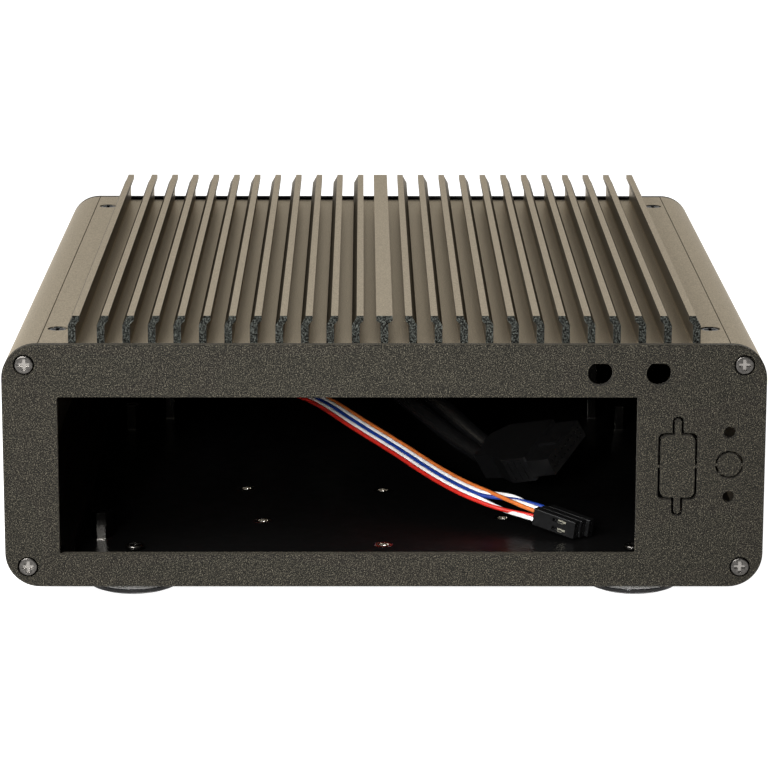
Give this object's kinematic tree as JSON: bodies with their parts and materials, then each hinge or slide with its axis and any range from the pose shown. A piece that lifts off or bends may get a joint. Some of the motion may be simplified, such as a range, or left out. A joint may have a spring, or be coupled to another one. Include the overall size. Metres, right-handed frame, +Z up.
{
  "type": "mini pc case",
  "caption": "Fanless compact computer case with finned aluminium top, rounded side rails, open rear I/O aperture, front power button and loose header leads inside.",
  "frame": {"origin": "centre of the case's footprint, on the surface that it stands on", "axes": "+X across the case, to the right when looking at the rear panel with the I/O aperture; -Y towards the viewer of that rear panel, +Y towards the front panel with the power button; +Z up"},
  "size_m": [0.209, 0.238, 0.082],
  "materials": {
    "textured_black": "fine textured powder coat, semi-matt",
    "anodised_bronze": "dark anodised extrusion, satin",
    "floor_black": "smooth semi-gloss black",
    "screw_steel": "dark plated, satin",
    "foot_plastic": "glossy moulded",
    "pad_rubber": "matt",
    "plated_brass": "nickel plated, bright",
    "button_metal": "turned and satin anodised",
    "switch_plastic": "matt moulded",
    "led_lens": "clear moulded",
    "tinned_wire": "bright tinned",
    "port_steel": "bright formed sheet",
    "circuit_board": "solder resist",
    "bracket_black": "matt black coated sheet",
    "plug_plastic": "matt moulded",
    "cable_black": "smooth PVC",
    "wire_red": "smooth PVC",
    "wire_white": "smooth PVC",
    "wire_blue": "smooth PVC",
    "wire_orange": "smooth PVC",
    "contact_gold": "bright plated"
  },
  "bodies": {
    "case": {"board_standoffs": "plated_brass", "bottom_plate": "floor_black", "bottom_plate_screws": "screw_steel", "bracket_posts": "plated_brass", "button_barrel": "button_metal", "button_nut": "button_metal", "drive_led": "led_lens", "floor_inserts": "plated_brass", "foot_front_left": "foot_plastic", "foot_front_right": "foot_plastic", "foot_pads": "pad_rubber", "foot_rear_left": "foot_plastic", "foot_rear_right": "foot_plastic", "foot_screws": "screw_steel", "front_panel": "textured_black", "front_panel_screws": "screw_steel", "front_usb_board": "circuit_board", "header_contacts": "contact_gold", "header_housing_left": "plug_plastic", "header_housing_middle": "plug_plastic", "header_housing_right": "plug_plastic", "led_holder": "switch_plastic", "led_leads": "tinned_wire", "left_side_rail": "anodised_bronze", "power_led": "led_lens", "power_switch": "switch_plastic", "rear_io_panel": "textured_black", "rear_panel_screws": "screw_steel", "ribbon_lead": "wire_red", "right_side_rail": "anodised_bronze", "top_heatsink": "anodised_bronze", "top_plate_screws": "screw_steel", "usb_bracket": "bracket_black", "usb_bracket_screws": "screw_steel", "usb_header_plug": "plug_plastic", "usb_lead_clamp": "plug_plastic", "usb_lead_lower": "cable_black", "usb_lead_upper": "cable_black", "usb_port_inner": "port_steel", "usb_port_outer": "port_steel"},
    "button": {"power_button_cap": "button_metal"}
  },
  "joints": [
    {"name": "power_button_press", "type": "slide", "parent": "case", "child": "button", "axis": [0, -1, 0], "range_m": [0, 0.0008], "stiffness_N_per_m": 600, "springref_m": -0.0005}
  ]
}
